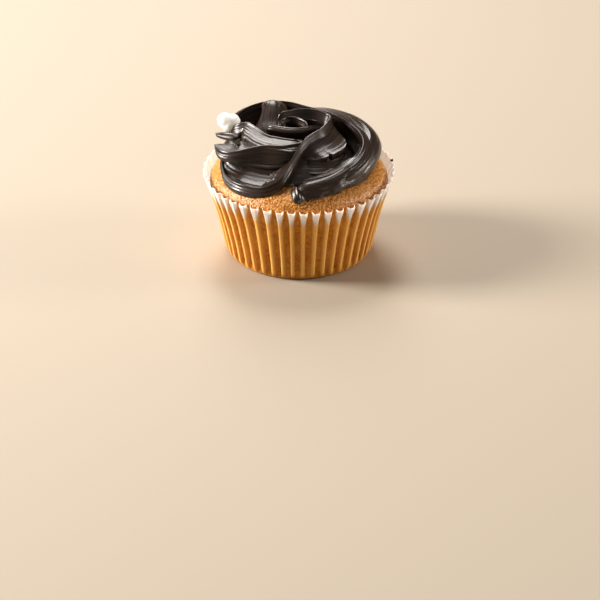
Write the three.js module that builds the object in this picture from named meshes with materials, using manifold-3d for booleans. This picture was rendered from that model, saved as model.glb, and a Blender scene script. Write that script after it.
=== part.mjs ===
// A cupcake in its pleated paper case, with chocolate icing piped as a rosette and one sugar piece.
// Millimetres, +Z up. The origin is the middle of the flat base that the paper case stands on.
// Azimuth 0 is +X and azimuth -90 is the front, -Y.
import * as THREE from 'three';
import { ParametricGeometry } from 'three/addons/geometries/ParametricGeometry.js';
import { mergeVertices } from 'three/addons/utils/BufferGeometryUtils.js';
import Module from 'manifold-3d';

const wasm = await Module();
wasm.setup();

// Driving dimensions
const BASE_RADIUS = 25;
const RIM_RADIUS = 31.8;
const CASE_HEIGHT = 30.4;
const RIM_FRONT_DIP = 1.2;
const RIM_WAVE = 0.25;
const RIM_SCALLOP = 0.45;
const WALL_BOW = 0.5;
const SIDE_FLARE = 0.9;
const FLARE_START = 20;
const PAPER_WALL = 0.45;
const BOTTOM_CORNER = 1.4;
const PLEATS = 47;
const FIRST_VALLEY = -91;
const PLEAT_DRIFT = 0.45;
const PLEAT_DEPTH_BASE = 0.65;
const PLEAT_DEPTH_RIM = 0.95;
const FOLDS_START = 4;
const FREE_RIM_HEIGHT = 9;
const FREE_RIM_PULL = 0.65;
const FREE_RIM_ANGLES = [0.7, 1.25];
const WAIST = 17;
const GAP = 0.3;
const SPONGE_SHOULDER = 24;
const SPONGE_SEGMENTS = 96;
const SPONGE_FOOT = 22.4;
const CRUMB_RELIEF = 0.28;
const BEND_REACH = 0.8;
const SLIVER = 0.02;
const ROUND_SEGMENTS = 48;

const radians = THREE.MathUtils.degToRad;

// Turns a geometry into a closed solid: only positions are kept, shared vertices are merged,
// triangles that have collapsed are dropped, and an inside-out shell is turned the right way.
function solidFrom(geometry) {
  const bare = geometry.clone();
  bare.deleteAttribute('normal');
  bare.deleteAttribute('uv');
  const merged = mergeVertices(bare, 1e-4);
  const place = merged.getAttribute('position');
  const corners = merged.getIndex().array;
  const kept = [];
  let volume = 0;
  const [a, b, c] = [new THREE.Vector3(), new THREE.Vector3(), new THREE.Vector3()];
  for (let i = 0; i < corners.length; i += 3) {
    const [p, q, r] = [corners[i], corners[i + 1], corners[i + 2]];
    if (p === q || q === r || r === p) continue;
    kept.push([p, q, r]);
    a.fromBufferAttribute(place, p);
    b.fromBufferAttribute(place, q);
    c.fromBufferAttribute(place, r);
    volume += a.dot(b.cross(c));
  }
  const turned = volume < 0 ? kept.map(([p, q, r]) => [p, r, q]) : kept;
  return new wasm.Manifold(new wasm.Mesh({
    numProp: 3,
    vertProperties: new Float32Array(place.array),
    triVerts: new Uint32Array(turned.flat()),
  }));
}

// Leaves out loose scraps and fills sealed hollows, by keeping only the largest shell.
function largestBody(solid) {
  return solid.decompose().reduce((best, body) => (body.volume() > best.volume() ? body : best));
}

// Gives a solid back as a named mesh with its own material. Slivers that the cuts and joins left
// are smoothed away first.
function meshFrom(solid, name, colour, roughness) {
  const { vertProperties, triVerts, numProp } = solid.simplify(SLIVER).getMesh();
  const geometry = new THREE.BufferGeometry();
  const place = new Float32Array((vertProperties.length / numProp) * 3);
  for (let i = 0; i < place.length / 3; i += 1) {
    for (let k = 0; k < 3; k += 1) place[3 * i + k] = vertProperties[numProp * i + k];
  }
  geometry.setAttribute('position', new THREE.BufferAttribute(place, 3));
  geometry.setIndex(Array.from(triVerts));
  geometry.computeVertexNormals();
  const mesh = new THREE.Mesh(geometry, new THREE.MeshStandardMaterial({ color: colour, roughness, metalness: 0 }));
  mesh.name = name;
  return mesh;
}

// Turns a profile of [radius, height] about the axis and moves each point by a function of
// its azimuth, radius and height, which returns the new radius, height and azimuth.
function turnedSolid(profile, segments, shape) {
  const geometry = new THREE.LatheGeometry(profile.map(([r, z]) => new THREE.Vector2(r, z)), segments);
  geometry.rotateX(Math.PI / 2);
  const place = geometry.getAttribute('position');
  for (let i = 0; i < place.count; i += 1) {
    const radius = Math.hypot(place.getX(i), place.getY(i));
    if (radius < 1e-6) continue;
    const azimuth = Math.atan2(place.getY(i), place.getX(i));
    const [r, z, turned = azimuth] = shape(azimuth, radius, place.getZ(i));
    place.setXYZ(i, r * Math.cos(turned), r * Math.sin(turned), z);
  }
  return solidFrom(geometry);
}

// Paper case

// The corners of one pleat: each is a share of the pitch, counted from the valley before it, and
// how far it stands out, 1 on the ridge and -1 in the valley.
const PLEAT_CORNERS = [[0.18, -1], [0.37, 1], [0.63, 1], [0.82, -1]];

// Gives the true azimuth and the outward share of a corner near an azimuth. The folds drift a
// little from even spacing.
function pleatCorner(azimuth) {
  const step = Math.round((azimuth * PLEATS * PLEAT_CORNERS.length) / (2 * Math.PI));
  const pleat = Math.floor(step / PLEAT_CORNERS.length);
  const [share, out] = PLEAT_CORNERS[step - pleat * PLEAT_CORNERS.length];
  const even = radians(FIRST_VALLEY) + ((pleat + share) * 2 * Math.PI) / PLEATS;
  return [even - radians(PLEAT_DRIFT) * (Math.sin(5 * even + 1) + 0.6 * Math.sin(11 * even)), out];
}

function rimHeight(azimuth) {
  return CASE_HEIGHT + RIM_FRONT_DIP * Math.sin(azimuth) + RIM_WAVE * Math.sin(3 * azimuth + 1);
}

// A straight slope that is bowed in a little halfway up.
function wallRadius(height) {
  const share = height / CASE_HEIGHT;
  return THREE.MathUtils.lerp(BASE_RADIUS, RIM_RADIUS, share) - WALL_BOW * Math.sin(Math.PI * share);
}

// Pleats fade in over the rounded bottom corner and deepen towards the rim.
function pleatDepth(height) {
  const fade = THREE.MathUtils.smoothstep(height, 0, FOLDS_START);
  return fade * THREE.MathUtils.lerp(PLEAT_DEPTH_BASE, PLEAT_DEPTH_RIM, height / CASE_HEIGHT);
}

// Away from the front, the rim stands free and its pleats are pulled nearly flat.
function pullFlat(azimuth, height) {
  const fromFront = Math.acos(-Math.sin(azimuth));
  const free = THREE.MathUtils.smoothstep(fromFront, ...FREE_RIM_ANGLES)
    * THREE.MathUtils.smoothstep(height, CASE_HEIGHT - FREE_RIM_HEIGHT, CASE_HEIGHT);
  return 1 - FREE_RIM_PULL * free;
}

// Folds the wall into pleats, spreads the rim to the left and right, and dips it over the ridges.
function pleated(azimuth, radius, height) {
  const [turned, out] = pleatCorner(azimuth);
  if (height <= PAPER_WALL) return [radius, height, turned];
  const flare = SIDE_FLARE * Math.cos(turned) ** 2 * THREE.MathUtils.smoothstep(height, FLARE_START, CASE_HEIGHT);
  const scallop = RIM_SCALLOP * (0.5 + 0.5 * out) * THREE.MathUtils.smoothstep(height, WAIST, CASE_HEIGHT);
  return [radius + pullFlat(turned, height) * pleatDepth(height) * out + flare,
    height * (rimHeight(turned) / CASE_HEIGHT) - scallop, turned];
}

function paperCase() {
  const levels = [BOTTOM_CORNER, FOLDS_START, WAIST, CASE_HEIGHT];
  const outer = levels.map((z) => [wallRadius(z), z]);
  const inner = levels.map((z) => [wallRadius(z) - PAPER_WALL, Math.max(z, BOTTOM_CORNER + PAPER_WALL)]).reverse();
  const profile = [[0, 0], [BASE_RADIUS - BOTTOM_CORNER, 0], ...outer,
    ...inner, [BASE_RADIUS - BOTTOM_CORNER - PAPER_WALL, PAPER_WALL], [0, PAPER_WALL]];
  return turnedSolid(profile, PLEATS * PLEAT_CORNERS.length, pleated);
}

// Sponge

// Height of the baked dome above the base, by distance from the axis.
const DOME = [[0, 35.2], [16, 34.1], [23, 32.8], [26.5, 31.4], [28.4, 30], [29.5, 28.2], [29.9, 26.3]];

// The browned crumb is a low relief of three crossing waves, strongest where the dome shows.
function crumb(azimuth, radius) {
  const [x, y] = [radius * Math.cos(azimuth), radius * Math.sin(azimuth)];
  const waves = Math.sin(1.9 * x + 1.3 * y) + Math.sin(2.3 * y - 1.1 * x + 2) + Math.sin(1.5 * (x - y));
  return (CRUMB_RELIEF / 3) * waves * THREE.MathUtils.smoothstep(radius, 20, 27);
}

// The radius inside the valleys of the pleats, with the gap between paper and sponge.
function insideCase(height) {
  return wallRadius(height) - PAPER_WALL - GAP - 0.1 - pleatDepth(height);
}

function sponge() {
  const floor = PAPER_WALL + GAP;
  const side = [FOLDS_START, WAIST, SPONGE_SHOULDER].map((z) => [insideCase(z), z]);
  const dome = DOME.map(([r, z]) => [Math.min(r, insideCase(z)), z]).reverse();
  const profile = [[0, floor], [SPONGE_FOOT, floor], ...side, ...dome];
  return turnedSolid(profile, SPONGE_SEGMENTS, (azimuth, radius, height) => (
    [radius, height <= SPONGE_SHOULDER ? height : height + crumb(azimuth, radius)]));
}

// Icing

// The space that the sponge takes below the icing, with the gap that keeps them apart.
function belowIcing() {
  const lift = GAP + CRUMB_RELIEF;
  const top = DOME.map(([r, z]) => [r * 1.01, z + lift]).reverse();
  const [bottom, reach] = [CORE_FOOT - 15, RIM_RADIUS + 4];
  return turnedSolid([[0, bottom], [reach, bottom], [reach, SPONGE_SHOULDER], ...top], ROUND_SEGMENTS,
    (azimuth, radius, height) => [radius, height]);
}

// One side of a ribbon's section, from its crest to its root: a quarter turn whose hollow runs
// from -1, a concave fall, to 1, a round shoulder, and then a tuck back under.
function sideOfSection({ width, drop, hollow, tuck = 0 }, steps) {
  const mix = (hollow + 1) / 2;
  const points = [];
  for (let i = 1; i <= steps; i += 1) {
    const turn = (Math.PI / 2) * (i / steps);
    const out = THREE.MathUtils.lerp(1 - Math.cos(turn), Math.sin(turn), mix);
    const down = THREE.MathUtils.lerp(Math.sin(turn), 1 - Math.cos(turn), mix);
    points.push([width * out, -drop * down]);
  }
  points.push([width - tuck, -drop - 0.6 * Math.abs(drop) - tuck]);
  return points;
}

// The closed section of a ribbon as [across, up], from the left root over the crest to the right.
function sectionOf(left, right, root, edge, steps) {
  const leftSide = sideOfSection(left, steps).map(([s, z]) => [-s - edge, z - edge]).reverse();
  const rightSide = sideOfSection(right, steps).map(([s, z]) => [s + edge, z - edge]);
  return [[leftSide[0][0], leftSide[0][1] - root], ...leftSide, [0, 0],
    ...rightSide, [rightSide.at(-1)[0], rightSide.at(-1)[1] - root]];
}

// The tightest bend near each station of a crest, with the sign of the side that it turns to.
function bendsOf(headings, step) {
  const count = headings.length;
  const bends = headings.map((heading, i) => {
    const [before, after] = [Math.max(i - 1, 0), Math.min(i + 1, count - 1)];
    const turn = headings[after] - headings[before];
    return -Math.atan2(Math.sin(turn), Math.cos(turn)) / (step * (after - before));
  });
  return bends.map((bend, i) => {
    const nearby = bends.slice(Math.max(i - 1, 0), i + 2).map(Math.abs);
    return Math.sign(bend) * Math.max(...nearby);
  });
}

// Holds an offset back on the inner side of a bend, so that the ribbon never folds over itself.
function heldIn(offset, bend) {
  if (offset * bend <= 0) return offset;
  return offset / (1 + Math.abs((offset * bend) / BEND_REACH) ** 4) ** 0.25;
}

// A piped ribbon: its section is carried along a smooth crest line through a few knots of
// [azimuth, radius, height]. Left and right are as seen when travelling along the crest with
// +Z up, and they turn into leftTo and rightTo over the stretch given by turning, as shares of
// the length. The section shrinks to a point at both ends over the given lengths, bluntly at a
// small taper and more pointed at a large one.
function ribbon({ knots, left, right, leftTo = left, rightTo = right, turning = [0.25, 0.75],
  root = 8, rootTo = root, edge = 0.4, ends, taper = 0.5, steps = 3, spacing = 2.6 }) {
  const crest = new THREE.CatmullRomCurve3(knots.map(([azimuth, radius, height]) => new THREE.Vector3(
    radius * Math.cos(radians(azimuth)), radius * Math.sin(radians(azimuth)), height)), false, 'centripetal');
  const length = crest.getLength();
  const stations = Math.round(length / spacing);
  const first = sectionOf(left, right, root, edge, steps);
  const last = sectionOf(leftTo, rightTo, rootTo, edge, steps);
  const places = Array.from({ length: stations + 1 }, (_, i) => i / stations);
  const alongs = places.map((t) => crest.getTangentAt(t).setZ(0).normalize());
  const bends = bendsOf(alongs.map(({ x, y }) => Math.atan2(y, x)), length / stations);
  const rings = places.map((t, i) => {
    const at = crest.getPointAt(t);
    const across = new THREE.Vector3(alongs[i].y, -alongs[i].x, 0);
    const near = Math.min((t * length) / ends[0], ((1 - t) * length) / ends[1], 1);
    const size = (1 - (1 - near) ** 2) ** taper;
    const change = THREE.MathUtils.smoothstep(t, ...turning);
    const middle = -THREE.MathUtils.lerp(left.drop + right.drop, leftTo.drop + rightTo.drop, change) / 2;
    return first.map(([s, z], k) => {
      const side = heldIn(THREE.MathUtils.lerp(s, last[k][0], change) * size, bends[i]);
      const up = middle + (THREE.MathUtils.lerp(z, last[k][1], change) - middle) * size;
      return at.clone().addScaledVector(across, side).add(new THREE.Vector3(0, 0, up));
    });
  });
  const surface = (u, v, target) => {
    const ring = rings[Math.round(v * stations)];
    target.copy(ring[Math.round(u * first.length) % first.length]);
  };
  return solidFrom(new ParametricGeometry(surface, first.length, stations));
}

// The crest lines of the rosette. The rope starts as the nub at the front, runs up the right
// side, round the back and over the left, and ends in the curl in the middle.
const RIBBONS = {
  outerBand: {
    knots: [[-93, 24.6, 35.6], [-65, 23.2, 37.2], [-35, 22.6, 39.2], [-12, 23.7, 41], [10, 24.6, 42.4],
      [38, 23.9, 43.5], [62, 22.4, 44.2], [85, 21.4, 43.6], [110, 21.4, 42.8], [135, 22.5, 42]],
    left: { width: 4, drop: 2.5, hollow: 0.6 },
    leftTo: { width: 8, drop: -2, hollow: 0 },
    right: { width: 3.6, drop: 4.4, hollow: 0.7, tuck: 1.6 },
    rightTo: { width: 4.9, drop: 5.4, hollow: 0.5, tuck: 1.4 },
    turning: [0.36, 0.6],
    edge: 0.05,
    ends: [5, 8],
  },
  lowerTurn: {
    knots: [[25, 24.4, 39.6], [70, 24.2, 39.4], [115, 24, 39], [160, 24.2, 39], [200, 24.4, 38]],
    left: { width: 5, drop: 4, hollow: 0.8 },
    right: { width: 4, drop: 4, hollow: 0.9, tuck: 1 },
    edge: 0.05,
    ends: [9, 9],
  },
  innerCrest: {
    knots: [[-88, 20.5, 35.4], [-60, 22, 37.6], [-35, 22.8, 39.6], [-10, 22.2, 42.2], [15, 19.4, 44.2],
      [38, 16.2, 45.9], [60, 14.8, 46.8], [82, 14.8, 47.3], [104, 16.6, 48.3], [124, 19.2, 48.6],
      [143, 22.6, 47.2], [160, 25.4, 44.4]],
    left: { width: 6.5, drop: 1.2, hollow: 0.5 },
    leftTo: { width: 1.5, drop: 6.5, hollow: 0.1 },
    right: { width: 3, drop: 2, hollow: 0.4 },
    turning: [0.2, 0.36],
    edge: 0.35,
    ends: [4, 6],
  },
  foldedPetal: {
    knots: [[47.7, 12.6, 47.2], [31.1, 12.2, 46.9], [2.5, 9.5, 47.1], [-31.1, 8.7, 46.9],
      [-57.8, 8.6, 46.4], [-77.9, 10.1, 45.6], [-86.5, 12, 44.3]],
    left: { width: 0.8, drop: 4.6, hollow: 0.2, tuck: 0.3 },
    leftTo: { width: 8.4, drop: 4.9, hollow: -0.8, tuck: 0.8 },
    right: { width: 1.5, drop: 4, hollow: 0.2 },
    turning: [0, 0.6],
    root: 6,
    edge: 0.25,
    ends: [2, 6],
  },
  leftRim: {
    knots: [[146.3, 9.3, 46.8], [136.9, 8.7, 48.4], [106.8, 8.6, 48.6], [87.8, 9.4, 48.5],
      [68.6, 10.7, 48.2], [50.5, 11.6, 47.9], [31.2, 12.2, 47.2], [1.8, 9.5, 47.4], [-31.7, 8.7, 47.2],
      [-58.2, 8.7, 46.7], [-78.1, 10.3, 45.9], [-88.4, 12.7, 44.5], [-99.3, 17.4, 40.7],
      [-102.9, 20.5, 38.6], [-106.9, 23.7, 36.8], [-117, 26.8, 34.8], [-133, 28.2, 34.3],
      [-150, 28.2, 34.7], [-168, 27, 38]],
    left: { width: 0.5, drop: 2.2, hollow: 0, tuck: 0.3 },
    right: { width: 1.6, drop: 3, hollow: -0.6 },
    rightTo: { width: 8, drop: 1, hollow: -0.7 },
    turning: [0.5, 0.7],
    edge: 0.3,
    ends: [3, 3],
  },
  petalFloor: {
    knots: [[-88, 10, 40.4], [-103, 14, 38.3], [-124, 16.8, 37.7], [-138.5, 19.2, 38.1],
      [-147, 20.8, 38.7], [-155, 22.6, 39.6], [-165, 24.6, 41]],
    left: { width: 6.8, drop: 3.9, hollow: -0.55 },
    leftTo: { width: 4, drop: 4.6, hollow: -0.2 },
    right: { width: 3, drop: 1, hollow: 0 },
    turning: [0.6, 0.9],
    edge: 0.3,
    ends: [4, 3],
  },
  shelf: {
    knots: [[-62, 9.2, 44.8], [-113.5, 12.4, 44.2], [-138.5, 16, 43.8], [-147.6, 20.5, 42.8],
      [-152.2, 24.3, 41.9], [-160.3, 27, 41.2], [-171.6, 29, 41.3]],
    left: { width: 2, drop: 5.5, hollow: 0.4 },
    leftTo: { width: 1.2, drop: 1.4, hollow: 0.4 },
    right: { width: 4, drop: 0.7, hollow: 0.5, tuck: 0.5 },
    rightTo: { width: 7.5, drop: 0.9, hollow: 0.3 },
    turning: [0.45, 0.75],
    root: 6,
    rootTo: 0.3,
    edge: 0.6,
    ends: [3, 9],
    taper: 0.9,
  },
  sweptFold: {
    knots: [[171.5, 23.4, 44.8], [174, 20.8, 46.1], [176.1, 17.5, 46.9], [187.1, 14.6, 46.5],
      [208, 11.9, 45.4], [242, 8.6, 45], [280, 8.6, 44.9]],
    left: { width: 2.4, drop: 2.4, hollow: 0.2, tuck: 0.5 },
    right: { width: 1.4, drop: 2.2, hollow: 0.5, tuck: 0.3 },
    rightTo: { width: 5, drop: 1.5, hollow: 0.5, tuck: 0.5 },
    turning: [0.02, 0.4],
    root: 1.2,
    rootTo: 8,
    edge: 0.6,
    ends: [4, 4],
  },
  lowerLip: {
    knots: [[171.1, 11.6, 45.6], [177.5, 9.3, 46.2], [187.1, 6.4, 46.2], [212.6, 3, 46.1],
      [319.4, 1.8, 46.1], [358.8, 4.6, 46.4], [369, 9, 45.6]],
    left: { width: 0.9, drop: 2.6, hollow: 0 },
    right: { width: 1, drop: 0.9, hollow: 0.6, tuck: 0.3 },
    root: 4,
    edge: 0.3,
    ends: [4, 3],
  },
  tallFold: {
    knots: [[186, 9.6, 43.6], [156.5, 10, 45.8], [137.7, 11.9, 48.65], [127.5, 14.1, 50.25],
      [121.8, 17.1, 49.75], [116.6, 21.2, 46]],
    left: { width: 6, drop: 1.6, hollow: 0.8 },
    leftTo: { width: 4, drop: 2.2, hollow: 0.9, tuck: 0.4 },
    right: { width: 5.2, drop: 1.6, hollow: 0.8 },
    rightTo: { width: 4.6, drop: 3.2, hollow: 0.8 },
    turning: [0.1, 0.5],
    edge: 0.05,
    ends: [5, 5],
  },
  middleCurl: {
    knots: [[-5.9, 2.9, 45.4], [29.7, 3.2, 46], [68.2, 4.3, 46.4], [102.3, 6.6, 46.6],
      [122.9, 7.7, 46.6], [146.7, 7.7, 46.4]],
    left: { width: 0.4, drop: 2, hollow: 0 },
    right: { width: 0.4, drop: 2, hollow: 0 },
    root: 4,
    edge: 0.25,
    ends: [1.5, 1.5],
  },
  sideTip: {
    knots: [[172.5, 28.9, 42.4], [175, 25.5, 42.8], [184, 20, 43.6]],
    left: { width: 1.5, drop: 0.8, hollow: 0.5 },
    right: { width: 1.5, drop: 0.8, hollow: 0.5 },
    root: 0.5,
    edge: 0.3,
    ends: [6, 3],
  },
  nub: {
    knots: [[-94, 22, 34.2], [-92, 24.6, 35], [-90.5, 26.6, 34.2], [-89.3, 28.4, 32.4]],
    left: { width: 1.9, drop: 1.5, hollow: 0.6 },
    right: { width: 1.4, drop: 1.8, hollow: 0.7 },
    root: 1.2,
    edge: 0.5,
    ends: [2.5, 2],
  },
};

// The icing under the ribbons, as a profile of [radius, height] that is turned about the axis.
const CORE_FOOT = 25;
const CORE = [[0, 39.5], [6, 39.8], [8.5, 40.8], [10, 41.2], [20.4, 34.1], [21.2, 33], [21.6, 31.6],
  [21.6, CORE_FOOT], [0, CORE_FOOT]];

function icing() {
  let solid = turnedSolid(CORE, ROUND_SEGMENTS, (azimuth, radius, height) => [radius, height]);
  for (const shape of Object.values(RIBBONS)) solid = solid.add(ribbon(shape));
  return largestBody(solid.subtract(belowIcing()));
}

// Sugar piece

// Two lobes side by side over a smaller one, pressed a little into the left of the icing.
const SUGAR_LOBES = [
  { azimuth: 168.5, radius: 26, height: 46, size: 2.9 },
  { azimuth: 166.5, radius: 23, height: 45.6, size: 2.7 },
  { azimuth: 170.5, radius: 24.4, height: 44, size: 2.4 },
];

function ball({ azimuth, radius, height, size }, growth) {
  const geometry = new THREE.IcosahedronGeometry(size + growth, 2);
  geometry.translate(radius * Math.cos(radians(azimuth)), radius * Math.sin(radians(azimuth)), height);
  return solidFrom(geometry);
}

function sugarPiece(growth = 0) {
  return SUGAR_LOBES.map((lobe) => ball(lobe, growth)).reduce((all, lobe) => all.add(lobe));
}

const group = new THREE.Group();
group.add(
  meshFrom(paperCase(), 'paper_case', '#e9dccb', 0.8),
  meshFrom(sponge(), 'sponge', '#c98f45', 0.9),
  meshFrom(icing().subtract(sugarPiece(GAP)), 'icing', '#2d1d18', 0.35),
  meshFrom(sugarPiece(), 'sugar_piece', '#f3efe8', 0.7),
);

export default group;
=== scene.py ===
"""Looks of a cupcake with piped chocolate icing: sponge, pleated paper case, icing and sugar piece."""

import logging
import math
from dataclasses import dataclass, field
from enum import Enum

import bpy
import numpy as np
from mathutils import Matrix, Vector


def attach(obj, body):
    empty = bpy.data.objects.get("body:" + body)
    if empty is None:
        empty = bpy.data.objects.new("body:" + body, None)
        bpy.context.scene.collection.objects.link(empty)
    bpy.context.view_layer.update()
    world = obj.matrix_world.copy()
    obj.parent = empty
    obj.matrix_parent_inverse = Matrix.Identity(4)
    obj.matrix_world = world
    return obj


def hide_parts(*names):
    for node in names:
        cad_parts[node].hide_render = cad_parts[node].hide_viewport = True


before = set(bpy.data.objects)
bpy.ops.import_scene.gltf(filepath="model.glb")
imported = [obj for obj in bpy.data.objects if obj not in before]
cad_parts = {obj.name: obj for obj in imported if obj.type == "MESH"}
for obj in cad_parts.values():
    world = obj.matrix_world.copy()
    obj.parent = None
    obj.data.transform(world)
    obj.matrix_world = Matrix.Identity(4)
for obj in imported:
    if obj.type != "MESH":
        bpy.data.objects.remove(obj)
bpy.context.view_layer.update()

log = logging.getLogger("cupcake")

MM = 0.001
TAU = 2 * math.pi
ROOT_BODY = "root"
MIX_COLOUR_INPUTS = (0, 6, 7)
MIX_COLOUR_OUTPUT = 2
CRUMB_SPAN = (0.35, 0.65)
STREAK_SPAN = (0.3, 0.7)
ROUND_EDGE = 0.1
GROOVE_FADE = 0.08
BEND_REACH = 0.8
CREST_DISTANCE = 40.0
FIRST_SEED = 100
SEED_STEP = 10


class Closing(Enum):
    """How a grid of points is closed along its columns."""

    OPEN = "open"
    RING = "ring"


# Noise worked out with numpy

def _hash(cells: np.ndarray, seed: int) -> np.ndarray:
    """Mixes whole-numbered cells into values from 0 to 1, the same on every run.

    Args:
        cells: whole numbers, the last axis holding x, y and z.
        seed: picks one of many patterns.

    Returns:
        One value for each cell.
    """
    c = cells.astype(np.int64)
    mixed = c[..., 0] * 374761393 + c[..., 1] * 668265263 + c[..., 2] * 2147483647 + seed * 974634777
    mixed = (mixed ^ (mixed >> 13)) * 1274126177 & 0x7FFFFFFF
    mixed = (mixed ^ (mixed >> 16)) * 2246822519 & 0x7FFFFFFF
    return (mixed ^ (mixed >> 15)).astype(float) / 0x7FFFFFFF % 1.0


def soft_noise(points: np.ndarray, seed: int) -> np.ndarray:
    """Smooth noise: the hashed values at the eight corners of a unit cell, blended by smoothstep.

    Args:
        points: places in units of one cell, the last axis holding x, y and z.
        seed: picks the pattern.

    Returns:
        Values from -1 to 1.
    """
    low = np.floor(points)
    f = points - low
    f = f * f * (3 - 2 * f)
    total = np.zeros(points.shape[:-1])
    for corner in np.ndindex(2, 2, 2):
        side = np.array(corner)
        weight = np.prod(np.where(side == 1, f, 1 - f), axis=-1)
        total += weight * _hash(low + side, seed)
    return 2 * total - 1


def grain_noise(points: np.ndarray, seed: int) -> np.ndarray:
    """Rounded grains: one minus the distance to the nearest of one random point in each cell.

    Args:
        points: places in units of one grain, the last axis holding x, y and z.
        seed: picks the pattern.

    Returns:
        Values near 1 at the middle of a grain, falling to about 0 between grains.
    """
    low = np.floor(points)
    best = np.full(points.shape[:-1], 9.0)
    for near in np.ndindex(3, 3, 3):
        cell = low + np.array(near) - 1
        spot = cell + np.stack([_hash(cell, seed + k) for k in range(3)], axis=-1)
        best = np.minimum(best, ((points - spot) ** 2).sum(axis=-1))
    return 1 - np.sqrt(best)


def smoothstep(value: np.ndarray, low: float, high: float) -> np.ndarray:
    """Runs from 0 at low to 1 at high with level ends."""
    t = np.clip((value - low) / (high - low), 0, 1)
    return t * t * (3 - 2 * t)


# Meshes from grids

def cartesian(radius: np.ndarray, height: np.ndarray, azimuth: np.ndarray) -> np.ndarray:
    """Turns radius, height and azimuth in radians into places of x, y and z."""
    return np.stack([radius * np.cos(azimuth), radius * np.sin(azimuth), height], axis=-1)


def section_grid(section: np.ndarray, azimuth: np.ndarray) -> tuple[np.ndarray, np.ndarray, np.ndarray]:
    """Spreads a section over azimuths.

    Args:
        section: points of (radius, height).
        azimuth: the azimuths in radians.

    Returns:
        Radius, height and azimuth, each shaped (points, azimuths).
    """
    radius, around = np.meshgrid(section[:, 0], azimuth, indexing="ij")
    height, _ = np.meshgrid(section[:, 1], azimuth, indexing="ij")
    return radius, height, around


def ball_directions(rows: int, columns: int) -> tuple[np.ndarray, np.ndarray, np.ndarray]:
    """Gives the polar angle, the azimuth and the unit direction over a ball from pole to pole.

    Args:
        rows: points from pole to pole.
        columns: points round.

    Returns:
        Two angles shaped (rows, columns) and directions shaped (rows, columns, 3).
    """
    polar = np.linspace(0, math.pi, rows)
    around = np.linspace(0, TAU, columns, endpoint=False)
    a, b = np.meshgrid(polar, around, indexing="ij")
    return a, b, cartesian(np.sin(a), np.cos(a), b)


def grid_piece(
    name: str,
    grid: np.ndarray,
    closing: Closing = Closing.RING,
    poles: tuple[bool, bool] = (True, True),
    uv: np.ndarray | None = None,
    values: dict[str, np.ndarray] | None = None,
) -> bpy.types.Object:
    """Makes a mesh piece from a grid of points, rows by columns.

    Args:
        name: the piece's name.
        grid: points in millimetres, shaped (rows, columns, 3).
        closing: whether the last column joins the first.
        poles: whether the first and the last row are one point each.
        uv: optional coordinates, shaped (rows, columns, 2).
        values: optional attributes by name, each shaped (rows, columns).

    Returns:
        The new object, linked to the scene, with its place in its mesh.
    """
    rows, columns = grid.shape[:2]
    index = np.arange(rows * columns).reshape(rows, columns)
    if poles[0]:
        index[0] = index[0, 0]
    if poles[1]:
        index[-1] = index[-1, 0]
    right = np.roll(index, -1, axis=1) if closing is Closing.RING else index[:, 1:]
    left = index if closing is Closing.RING else index[:, :-1]
    quads = np.stack([left[:-1], right[:-1], right[1:], left[1:]], axis=-1).reshape(-1, 4)
    used, flat = np.unique(quads, return_inverse=True)
    quads = flat.reshape(quads.shape)
    places = grid.reshape(-1, 3)[used] * MM
    first = quads[:, 0] == quads[:, 1]
    last = quads[:, 2] == quads[:, 3]
    triangles = np.vstack([quads[first][:, [0, 2, 3]], quads[last][:, [0, 1, 2]]])
    plain = quads[~first & ~last]
    corners = np.concatenate([plain.ravel(), triangles.ravel()])
    sizes = np.concatenate([np.full(len(plain), 4), np.full(len(triangles), 3)])
    mesh = bpy.data.meshes.new(name)
    mesh.vertices.add(len(places))
    mesh.vertices.foreach_set("co", places.ravel())
    mesh.loops.add(len(corners))
    mesh.loops.foreach_set("vertex_index", corners.astype(np.int32))
    mesh.polygons.add(len(sizes))
    mesh.polygons.foreach_set("loop_start", (np.cumsum(sizes) - sizes).astype(np.int32))
    mesh.update(calc_edges=True)
    mesh.polygons.foreach_set("use_smooth", np.ones(len(sizes), dtype=bool))
    if uv is not None:
        layer = mesh.uv_layers.new(name="UVMap")
        layer.data.foreach_set("uv", uv.reshape(-1, 2)[used][corners].astype(np.float32).ravel())
    for key, value in (values or {}).items():
        attribute = mesh.attributes.new(key, "FLOAT", "POINT")
        attribute.data.foreach_set("value", value.ravel()[used].astype(np.float32))
    mesh.validate()
    piece = bpy.data.objects.new(name, mesh)
    bpy.context.scene.collection.objects.link(piece)
    face_outwards(piece)
    return piece


def face_outwards(piece: bpy.types.Object) -> None:
    """Turns the faces round where the volume inside them comes out negative."""
    mesh = piece.data
    mesh.calc_loop_triangles()
    corners = np.empty(3 * len(mesh.loop_triangles), dtype=np.int32)
    mesh.loop_triangles.foreach_get("vertices", corners)
    places = np.empty(3 * len(mesh.vertices))
    mesh.vertices.foreach_get("co", places)
    a, b, c = places.reshape(-1, 3)[corners.reshape(-1, 3)].transpose(1, 0, 2)
    if np.einsum("ij,ij->i", a, np.cross(b, c)).sum() < 0:
        mesh.flip_normals()


def apply_modifiers(piece: bpy.types.Object) -> None:
    """Puts the result of the piece's modifiers into its mesh and removes them."""
    graph = bpy.context.evaluated_depsgraph_get()
    made = bpy.data.meshes.new_from_object(piece.evaluated_get(graph), depsgraph=graph)
    piece.modifiers.clear()
    piece.data = made


def dress(piece: bpy.types.Object, material: bpy.types.Material,
          node: str | None = None) -> None:
    """Gives a finished piece its material, its body and its slot, and reports it.

    Args:
        piece: the finished piece.
        material: its finish.
        node: the CAD node that the piece stands for, or None.
    """
    piece.data.materials.clear()
    piece.data.materials.append(material)
    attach(piece, ROOT_BODY)
    if node:
        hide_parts(node)
    log.info("%s: %d faces", piece.name, len(piece.data.polygons))


# Materials

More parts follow.
